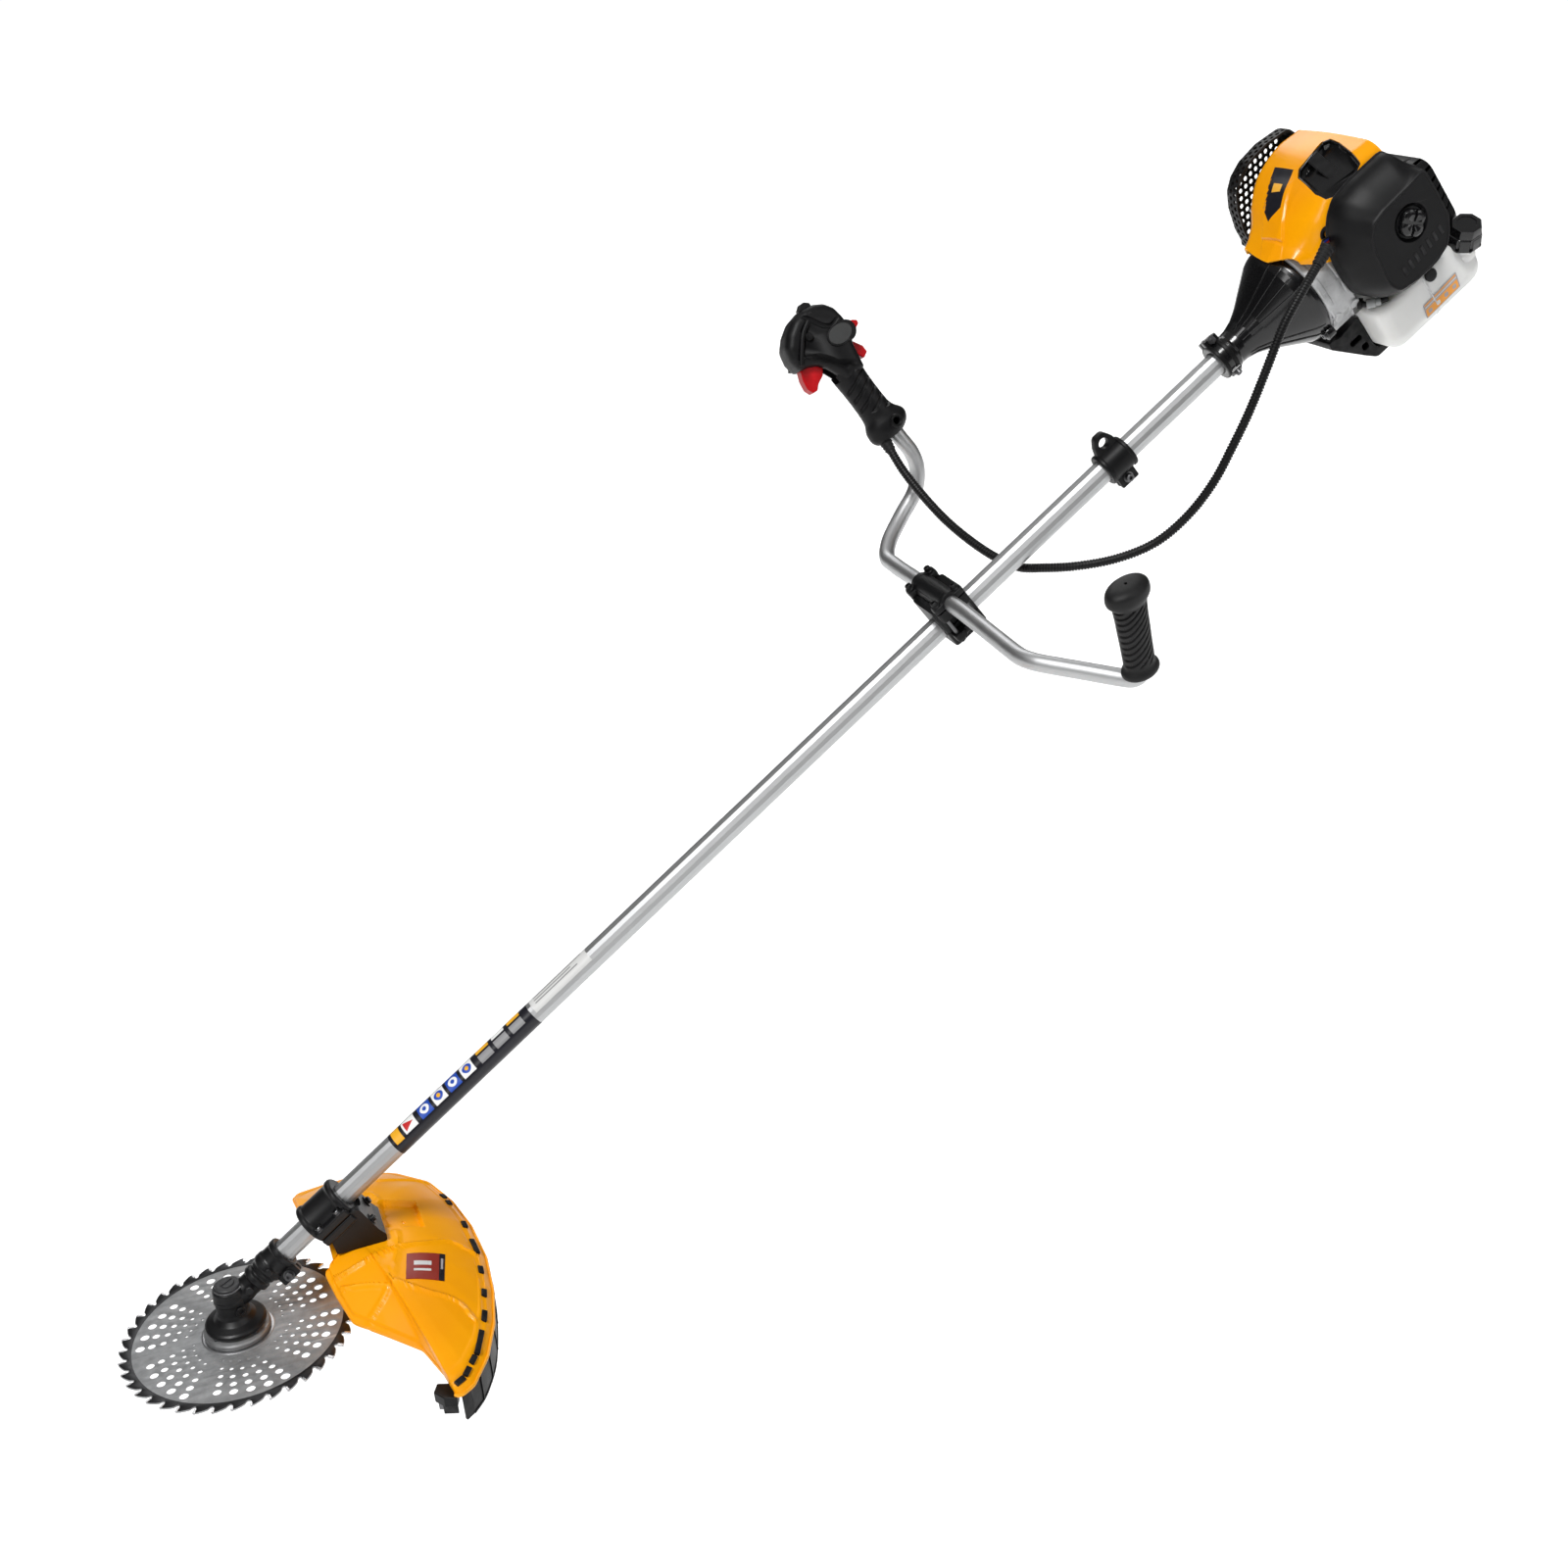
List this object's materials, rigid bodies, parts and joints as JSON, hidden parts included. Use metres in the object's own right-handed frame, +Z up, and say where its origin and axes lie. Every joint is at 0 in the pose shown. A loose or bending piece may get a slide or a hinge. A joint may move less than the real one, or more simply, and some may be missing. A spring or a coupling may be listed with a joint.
{
  "type": "brush cutter",
  "caption": "Petrol brush cutter: straight shaft from engine to angled gear head, toothed disc under a curved guard, bull-horn handlebar with throttle grip, harness eye.",
  "frame": {"origin": "centre of the harness eye on top of the shaft, from which the machine hangs", "axes": "+Z up along the spindle axis with the disc level, +X level from the disc towards the engine, +Y to the operator's right, the side of the throttle grip"},
  "size_m": [1.6307, 0.6089, 1.1182],
  "materials": {
    "black_plastic": "moulded black nylon, fine grain, satin",
    "black_gloss": "smooth black moulding",
    "rubber": "black rubber, matt",
    "yellow_plastic": "yellow-orange moulding, semi-gloss",
    "blade_steel": "ground and brushed tool steel",
    "bright_steel": "bright zinc-plated steel",
    "machined_steel": "machined steel",
    "tube_aluminium": "drawn and polished aluminium tube",
    "cast_alloy": "die-cast aluminium alloy, grey",
    "tank_plastic": "translucent white polyethylene",
    "red_plastic": "red moulding",
    "bush_bronze": "sintered bronze bush",
    "filter_foam": "oiled foam",
    "ceramic": "glazed insulator",
    "gearbox_paint": "black-coated cast alloy"
  },
  "bodies": {
    "frame": {"gearbox_housing": "gearbox_paint", "gearbox_cap": "gearbox_paint", "spindle_bearing_upper": "bright_steel", "spindle_bearing_lower": "bright_steel", "pinion_bearing": "bright_steel", "shaft_tube": "tube_aluminium", "shaft_bush_lower": "bush_bronze", "shaft_bush_upper": "bush_bronze", "guard_bracket": "black_plastic", "guard_shell": "yellow_plastic", "guard_skirt": "black_plastic", "line_cutter": "black_plastic", "handlebar_clamp_base": "gearbox_paint", "handlebar_clamp_middle": "gearbox_paint", "handlebar_clamp_cap": "gearbox_paint", "handlebar": "tube_aluminium", "left_grip": "rubber", "throttle_housing_left": "black_plastic", "throttle_housing_right": "black_plastic", "control_cable": "rubber", "handle_cable_gland": "rubber", "engine_cable_gland": "rubber", "harness_clamp": "black_plastic", "clutch_housing": "black_gloss", "fan_housing": "cast_alloy", "crankcase": "cast_alloy", "cylinder": "cast_alloy", "spark_plug": "ceramic", "muffler": "machined_steel", "muffler_guard": "black_plastic", "carburettor": "cast_alloy", "air_filter_cover": "black_plastic", "air_filter_element": "filter_foam", "starter_housing": "black_plastic", "fuel_tank": "tank_plastic", "engine_foot": "black_plastic", "top_cover": "yellow_plastic"},
    "cutter": {"blade": "blade_steel", "drive_flange": "bright_steel", "lower_washer": "machined_steel", "stabiliser_cup": "machined_steel", "blade_nut": "bright_steel", "spindle": "machined_steel", "driven_gear": "machined_steel"},
    "drive_line": {"inner_drive_shaft": "machined_steel", "pinion_gear": "machined_steel", "clutch_drum": "machined_steel"},
    "crank": {"crankshaft": "machined_steel", "flywheel_fan": "cast_alloy", "clutch_shoes": "machined_steel"},
    "piston_rod": {"piston": "cast_alloy", "connecting_rod": "machined_steel"},
    "trigger": {"throttle_trigger": "red_plastic"},
    "lockout": {"lockout_lever": "red_plastic"},
    "stop": {"stop_switch": "red_plastic"},
    "hold_button": {"half_throttle_button": "black_plastic"},
    "filter_knob": {"filter_cover_knob": "black_plastic"},
    "cap": {"fuel_cap": "black_plastic"},
    "recoil_handle": {"starter_handle": "black_plastic"},
    "recoil_pulley": {"starter_pulley": "black_plastic"}
  },
  "joints": [
    {"name": "drive_shaft_spin", "type": "hinge", "parent": "frame", "child": "drive_line", "pos_m": [-1.07355, 0, -0.77536], "axis": [0.8224, 0, 0.5688], "continuous": true},
    {"name": "cutter_spin", "type": "hinge", "parent": "frame", "child": "cutter", "pos_m": [-1.07355, 0, -0.77536], "axis": [0, 0, 1], "continuous": true},
    {"name": "crank_spin", "type": "hinge", "parent": "frame", "child": "crank", "pos_m": [0.24564, 0, 0.13707], "axis": [0.8224, 0, 0.5688], "continuous": true},
    {"name": "piston_stroke", "type": "slide", "parent": "frame", "child": "piston_rod", "axis": [-0.5688, 0, 0.8224], "range_m": [-0.03, 0]},
    {"name": "throttle_trigger_pull", "type": "hinge", "parent": "frame", "child": "trigger", "pos_m": [-0.24236, 0.23323, 0.08176], "axis": [0, -0.9296, 0.3687], "range_deg": [0, 18], "stiffness_Nm_per_rad": 0.05},
    {"name": "lockout_press", "type": "hinge", "parent": "frame", "child": "lockout", "pos_m": [-0.19415, 0.23754, 0.09261], "axis": [0, 0.9296, -0.3687], "range_deg": [0, 10], "stiffness_Nm_per_rad": 0.02},
    {"name": "stop_switch_slide", "type": "slide", "parent": "frame", "child": "stop", "axis": [-0.8812, -0.1743, -0.4394], "range_m": [0, 0.0025]},
    {"name": "half_throttle_press", "type": "slide", "parent": "frame", "child": "hold_button", "axis": [0, 0.9296, -0.3687], "range_m": [0, 0.002], "stiffness_N_per_m": 500},
    {"name": "filter_knob_turn", "type": "hinge", "parent": "frame", "child": "filter_knob", "pos_m": [0.30076, -0.115, 0.20681], "axis": [0, -1, 0], "range_deg": [0, 360]},
    {"name": "fuel_cap_turn", "type": "hinge", "parent": "frame", "child": "cap", "pos_m": [0.39295, -0.066, 0.16844], "axis": [-0.4716, -0.5593, 0.6818], "range_deg": [0, 360]},
    {"name": "starter_rope_pull", "type": "slide", "parent": "frame", "child": "recoil_handle", "axis": [0, 1, 0], "range_m": [0, 0.6]},
    {"name": "starter_pulley_spin", "type": "hinge", "parent": "frame", "child": "recoil_pulley", "pos_m": [0.36243, 0, 0.21785], "axis": [0.8224, 0, 0.5688], "range_deg": [-5, 1280]}
  ],
  "couplings": [
    {"joint": "cutter_spin", "follows": "drive_shaft_spin", "ratio": 0.71429},
    {"joint": "starter_pulley_spin", "follows": "starter_rope_pull", "rad_per_m": 37.037}
  ]
}
